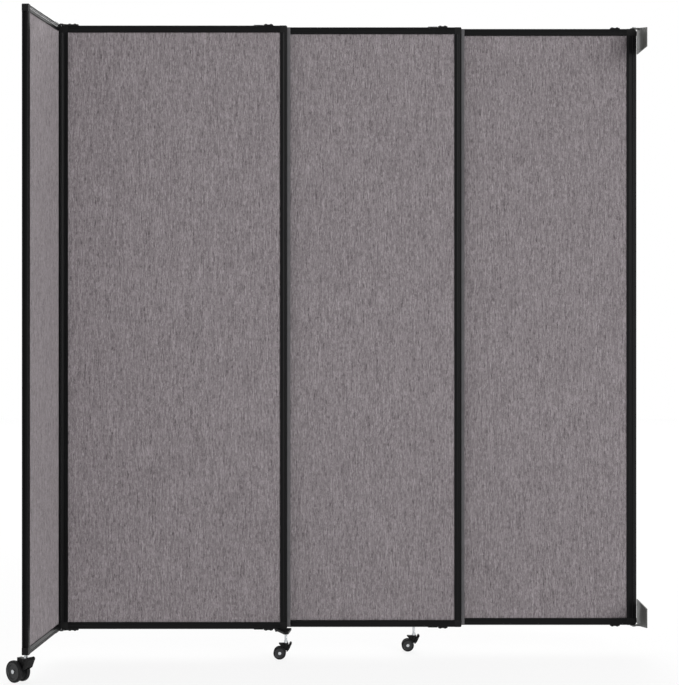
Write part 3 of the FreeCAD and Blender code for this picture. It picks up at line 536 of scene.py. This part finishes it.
# Casters: one large under the return panel and two small. Each has a zinc-plated stem, a moulded housing
# with a hood, two wheels with soft tyres on one axle, and a brake lever pressed by foot.
ROUND = 96
STEM_EDGE = 0.5 * MM
HOUSING_EDGE = {"return": 2.0 * MM, "lead": 1.2 * MM, "anchor": 1.2 * MM}
LEVER_EDGE = {"return": 1.2 * MM, "lead": 0.8 * MM, "anchor": 0.8 * MM}
LARGE_WHEEL = {
    "radius": 37.5 * MM, "width": 14.5 * MM, "gap": 9.4 * MM, "tyre": 9 * MM, "rim": 26 * MM,
    "hub": 9.5 * MM, "dish": 3.5 * MM, "hub_drop": 1.9 * MM, "bore": 3.55 * MM,
}
SMALL_WHEEL = {
    "radius": 22.5 * MM, "width": 9.6 * MM, "gap": 6.4 * MM, "tyre": 6 * MM, "rim": 15 * MM,
    "hub": 7 * MM, "dish": 2.5 * MM, "hub_drop": 1.9 * MM, "bore": 2.55 * MM,
}
OUTLINE_POINTS = 40
TYRE_ORDER = 3.2
TYRE_BITE = 0.8
STEP_SOFTNESS = 0.5 * MM
DISC_SET_BACK = 0.5 * MM
DISC_CLEAR = 0.3 * MM


def wheel_ring(radii, along, centre, axis):
    """A closed outline of radius and distance along the axle, turned about the axle in 96 steps."""
    axis = np.array(axis) / np.linalg.norm(axis)
    upright = np.array([0.0, 0.0, 1.0])
    level = np.cross(axis, upright)
    turn = np.linspace(0, 2 * np.pi, ROUND, endpoint=False)
    spoke = np.cos(turn)[:, None] * upright + np.sin(turn)[:, None] * level
    return np.array(centre) + along[:, None, None] * axis + radii[:, None, None] * spoke


def wheel_pair(name, radius, width, gap, tyre, rim, hub, dish, hub_drop, bore):
    """The two wheels of one caster. A tyre's outline is a superellipse of order 3.2. The disc's outer face
    is set back by the dish between hub and rim, with both steps smoothed by a hyperbolic tangent."""
    joint = next(j for j in frame["joints"] if j["name"] == f"{name}_roll")
    turn = np.linspace(0, 2 * np.pi, OUTLINE_POINTS, endpoint=False)
    power = 2 / TYRE_ORDER
    tyre_out = radius - tyre / 2 + tyre / 2 * np.sign(np.cos(turn)) * np.abs(np.cos(turn)) ** power
    tyre_along = gap + width / 2 + width / 2 * np.sign(np.sin(turn)) * np.abs(np.sin(turn)) ** power
    out = np.linspace(bore, radius - tyre * TYRE_BITE, OUTLINE_POINTS)
    past_rim = (1 + np.tanh((out - rim) / STEP_SOFTNESS)) / 2
    past_hub = (1 + np.tanh((out - hub) / STEP_SOFTNESS)) / 2
    outer = gap + width - DISC_SET_BACK - dish * (1 - past_rim) + (dish - hub_drop) * (1 - past_hub)
    inner = np.full_like(out, gap + DISC_CLEAR)
    disc_out, disc_along = np.concatenate([out, out[::-1]]), np.concatenate([outer, inner])
    for label, radii, along, finish in (
        ("tyres", tyre_out, tyre_along, tyre_rubber),
        ("discs", disc_out, disc_along, wheel_plastic),
    ):
        for side, sign in (("near", -1), ("far", 1)):
            rings = wheel_ring(radii, sign * along, joint["pos_m"], joint["axis"])
            piece = ring_mesh(f"{name}_caster_{side}_{label}", rings, False, finish)
            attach(piece, f"{name}_wheels")
            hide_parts(f"{name}_caster_wheels")


# Zinc plate on steel: a bright, slightly bluish metal with soft cloudy patches from the bath.
zinc_plated_steel = mottled(
    "zinc_plated_steel", "#b4b7ba", "#d2d4d6", 6, (0.22, 0.36), 0.8, 0.02, metallic=1.0)
# Soft tyre rubber: near black and dull, with a little dust that greys it in patches.
tyre_rubber = mottled("tyre_rubber", "#101011", "#1a1a1b", 9, (0.55, 0.70), 1.2, 0.04, shine=0.15)
# Moulded polypropylene: a dark grey wheel disc with a waxy, even gloss.
wheel_plastic = mottled(
    "moulded_polypropylene", "#242526", "#2d2e2f", 14, (0.36, 0.46), 1.0, 0.02, shine=0.3)
for name in ("return", "lead", "anchor"):
    eased(f"{name}_caster_stem", STEM_EDGE, zinc_plated_steel)
    eased(f"{name}_caster_housing", HOUSING_EDGE[name], moulded_nylon)
    eased(f"{name}_caster_axle", STEM_EDGE, zinc_plated_steel)
    eased(f"{name}_caster_brake", LEVER_EDGE[name], moulded_nylon)
wheel_pair("return", **LARGE_WHEEL)
wheel_pair("lead", **SMALL_WHEEL)
wheel_pair("anchor", **SMALL_WHEEL)

# Studio: a plain pale floor, a broad key lamp far off to the right, a lamp behind the row, and a surround
# that lights more from behind than from the front and is plain white where it is seen or mirrored.
FLOOR_Z = cad_box[0][2]
FLOOR_WHITE = 0.85
floor_mesh = bpy.data.meshes.new("studio_floor")
floor_mesh.from_pydata(
    [(-12, -10, FLOOR_Z), (10, -10, FLOOR_Z), (10, 12, FLOOR_Z), (-12, 12, FLOOR_Z)], [], [(0, 1, 2, 3)])
floor = bpy.data.objects.new("studio_floor", floor_mesh)
bpy.context.scene.collection.objects.link(floor)


def straight_sight(tree):
    """One for rays that see the studio directly, in a gloss or through glass, and nought for scattered
    ones."""
    ray = add(tree, "LightPath").outputs
    mirrored = add(tree, "Math", {
        0: ray["Is Glossy Ray"], 1: ray["Is Transmission Ray"]}, operation="MAXIMUM")
    return add(tree, "Math", {
        0: ray["Is Camera Ray"], 1: mirrored.outputs[0]}, operation="MAXIMUM").outputs[0]


# Painted board: even off-white, lifted most of the way to white where it is seen or mirrored, so that
# only the shadow shows.
painted_board = bpy.data.materials.new("painted_board")
painted_board.use_nodes = True
tree = painted_board.node_tree
skin = tree.nodes["Principled BSDF"]
skin.inputs["Roughness"].default_value = 0.8
place = add(tree, "TexCoord").outputs["Object"]
board_grain = add(tree, "TexNoise", {"Vector": place, "Scale": 1 / (8 * MM), "Detail": 3.0})
paint = add(tree, "Mix", {
    0: board_grain.outputs["Fac"], 6: linear("#f3f3f3"), 7: linear("#f8f8f8")}, data_type="RGBA")
tree.links.new(paint.outputs[2], skin.inputs["Base Color"])
share = add(tree, "Math", {0: straight_sight(tree), 1: FLOOR_WHITE}, operation="MULTIPLY")
white = add(tree, "Emission", {"Color": (1, 1, 1, 1), "Strength": 1.0})
mixed = add(tree, "MixShader", {
    0: share.outputs[0], 1: skin.outputs["BSDF"], 2: white.outputs["Emission"]})
tree.links.new(mixed.outputs["Shader"], tree.nodes["Material Output"].inputs["Surface"])
floor_mesh.materials.append(painted_board)

MIDDLE = np.array([-1.1, 0.0, 1.0])
LAMPS = (
    ("key_lamp", (8.4, -11.0, 4.8), "SUN", {"angle": math.radians(40), "energy": 1.93}),
    ("back_lamp", (-1.0, 9.0, 7.0), "AREA", {"size": 5.0, "energy": 400}),
)
for name, spot, kind, values in LAMPS:
    lamp_data = bpy.data.lights.new(name, kind)
    for setting, value in values.items():
        setattr(lamp_data, setting, value)
    lamp = bpy.data.objects.new(name, lamp_data)
    bpy.context.scene.collection.objects.link(lamp)
    way = MIDDLE - np.array(spot)
    lamp.location = spot
    lamp.rotation_euler = (
        math.atan2(math.hypot(way[0], way[1]), -way[2]), 0, math.atan2(-way[0], way[1]))

surround = bpy.data.worlds.new("white_surround")
surround.use_nodes = True
tree = surround.node_tree
lit = tree.nodes["Background"]
lit.inputs["Color"].default_value = (1, 1, 1, 1)
way = add(tree, "SeparateXYZ", {0: add(tree, "TexCoord").outputs["Generated"]})
level = add(tree, "MapRange", {
    "Value": way.outputs["Y"], "From Min": -0.9, "From Max": 0.3, "To Min": 0.22, "To Max": 1.0},
    interpolation_type="SMOOTHSTEP")
tree.links.new(level.outputs["Result"], lit.inputs["Strength"])
backdrop = add(tree, "Background", {"Color": (1, 1, 1, 1), "Strength": 1.0})
mixed = add(tree, "MixShader", {
    0: straight_sight(tree), 1: lit.outputs["Background"], 2: backdrop.outputs["Background"]})
tree.links.new(mixed.outputs["Shader"], tree.nodes["World Output"].inputs["Surface"])
bpy.context.scene.world = surround
bpy.context.scene.view_settings.view_transform = "Standard"

# Camera: level, far off and just left of the row's middle, framed a little below the horizon.
camera_data = bpy.data.cameras.new("camera")
camera_data.lens = 87.0
camera_data.sensor_width = 36.0
camera_data.shift_x = -0.00146
camera_data.shift_y = -0.06105
camera = bpy.data.objects.new("camera", camera_data)
camera.location = (-1.101, -6.089, 1.148)
camera.rotation_euler = (math.pi / 2, 0, 0)
bpy.context.scene.collection.objects.link(camera)
bpy.context.scene.camera = camera

bpy.context.view_layer.update()
